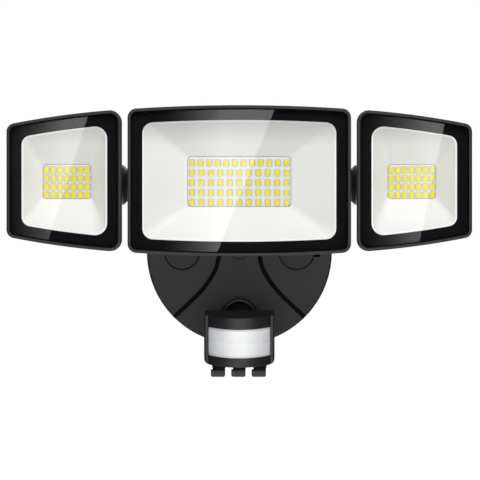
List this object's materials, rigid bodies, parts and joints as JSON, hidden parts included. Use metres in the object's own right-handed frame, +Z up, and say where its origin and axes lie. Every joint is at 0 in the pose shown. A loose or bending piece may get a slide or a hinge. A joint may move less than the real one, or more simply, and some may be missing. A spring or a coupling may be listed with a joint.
{
  "type": "motion sensor security light",
  "caption": "Wall security light: round base, cross bar with a wide middle floodlight and tapered side floodlights that tilt and swing, motion sensor on a ball arm with setting knobs",
  "frame": {"origin": "centre of the round base on the wall plane", "axes": "+X to the viewer's right along the row of heads, +Y into the wall, +Z up"},
  "size_m": [0.2676, 0.0888, 0.1582],
  "materials": {
    "black_powder_coat": "die-cast aluminium with a fine satin black powder coat",
    "black_moulded_plastic": "lightly spark-eroded moulded plastic",
    "black_knob_plastic": "matte moulded plastic",
    "black_rubber": "matte silicone rubber",
    "foam_gasket": "closed-cell foam",
    "zinc_plated_steel": "zinc-plated sheet",
    "plated_screws": "zinc-plated",
    "blackened_steel": "blackened steel",
    "nylon_washer": "smooth nylon",
    "green_circuit_board": "solder-masked glass fibre board",
    "electronic_parts": "moulded component cases",
    "clear_glass": "clear tempered glass",
    "black_print": "black enamel print on the back of the glass",
    "white_reflector": "white moulded reflector",
    "white_led_board": "white solder mask on aluminium",
    "yellow_phosphor": "silicone with yellow phosphor",
    "milky_lens": "milky translucent sheet with fine ribs",
    "tinned_can": "tinned can"
  },
  "bodies": {
    "base": {"base_housing": "black_powder_coat", "wall_gasket": "foam_gasket", "back_plate": "zinc_plated_steel", "back_plate_screws": "plated_screws", "supply_grommet": "black_rubber", "mounting_strap": "zinc_plated_steel", "strap_bolt": "plated_screws", "bolt_cap": "black_rubber", "right_screw_cover": "black_moulded_plastic", "left_screw_cover": "black_moulded_plastic", "driver_board": "green_circuit_board", "driver_parts": "electronic_parts", "sensor_socket_ring": "black_moulded_plastic", "support_arm": "black_powder_coat", "arm_screws": "plated_screws", "grub_screws": "blackened_steel"},
    "middle_head": {"middle_housing": "black_powder_coat", "middle_glass": "clear_glass", "middle_border": "black_print", "middle_seal": "black_rubber", "middle_reflector": "white_reflector", "middle_led_board": "white_led_board", "middle_leds": "yellow_phosphor", "middle_board_screws": "plated_screws", "middle_clamp_caps": "black_powder_coat", "middle_clamp_screws": "blackened_steel"},
    "left_bracket": {"left_knuckle": "black_powder_coat", "left_washer": "nylon_washer"},
    "left_head": {"left_housing": "black_powder_coat", "left_glass": "clear_glass", "left_border": "black_print", "left_seal": "black_rubber", "left_reflector": "white_reflector", "left_led_board": "white_led_board", "left_leds": "yellow_phosphor", "left_board_screws": "plated_screws", "left_hinge_bolt": "blackened_steel"},
    "right_bracket": {"right_knuckle": "black_powder_coat", "right_washer": "nylon_washer"},
    "right_head": {"right_housing": "black_powder_coat", "right_glass": "clear_glass", "right_border": "black_print", "right_seal": "black_rubber", "right_reflector": "white_reflector", "right_led_board": "white_led_board", "right_leds": "yellow_phosphor", "right_board_screws": "plated_screws", "right_hinge_bolt": "blackened_steel"},
    "sensor_link": {"sensor_arm": "black_moulded_plastic"},
    "sensor": {"sensor_rear_shell": "black_moulded_plastic", "sensor_front_shell": "black_moulded_plastic", "sensor_lens": "milky_lens", "sensor_board": "green_circuit_board", "sensor_detector": "tinned_can", "sensor_trim_pots": "electronic_parts", "sensor_bolt": "plated_screws"},
    "time_setting": {"time_knob": "black_knob_plastic"},
    "lux_setting": {"lux_knob": "black_knob_plastic"},
    "sens_setting": {"sens_knob": "black_knob_plastic"}
  },
  "joints": [
    {"name": "middle_tilt", "type": "hinge", "parent": "base", "child": "middle_head", "pos_m": [0, -0.046, 0.0402], "axis": [1, 0, 0], "range_deg": [-60, 35]},
    {"name": "left_tilt", "type": "hinge", "parent": "base", "child": "left_bracket", "pos_m": [-0.0664, -0.046, 0.0402], "axis": [1, 0, 0], "range_deg": [-60, 60]},
    {"name": "left_swing", "type": "hinge", "parent": "left_bracket", "child": "left_head", "pos_m": [-0.08, -0.05, 0.0402], "axis": [0, 0, 1], "range_deg": [-50, 3]},
    {"name": "right_tilt", "type": "hinge", "parent": "base", "child": "right_bracket", "pos_m": [0.0664, -0.046, 0.0402], "axis": [1, 0, 0], "range_deg": [-60, 60]},
    {"name": "right_swing", "type": "hinge", "parent": "right_bracket", "child": "right_head", "pos_m": [0.08, -0.05, 0.0402], "axis": [0, 0, 1], "range_deg": [-3, 50]},
    {"name": "sensor_pan", "type": "hinge", "parent": "base", "child": "sensor_link", "pos_m": [0, -0.0235, -0.0395], "axis": [0, 0, 1], "range_deg": [-35, 35]},
    {"name": "sensor_tilt", "type": "hinge", "parent": "sensor_link", "child": "sensor", "pos_m": [0, -0.049, -0.046], "axis": [1, 0, 0], "range_deg": [-20, 45]},
    {"name": "time_turn", "type": "hinge", "parent": "sensor", "child": "time_setting", "pos_m": [-0.01205, -0.06184, -0.06532], "axis": [0, -0.1736, 0.9848], "range_deg": [-135, 135]},
    {"name": "lux_turn", "type": "hinge", "parent": "sensor", "child": "lux_setting", "pos_m": [0, -0.06184, -0.06532], "axis": [0, -0.1736, 0.9848], "range_deg": [-135, 135]},
    {"name": "sens_turn", "type": "hinge", "parent": "sensor", "child": "sens_setting", "pos_m": [0.01205, -0.06184, -0.06532], "axis": [0, -0.1736, 0.9848], "range_deg": [-135, 135]}
  ]
}
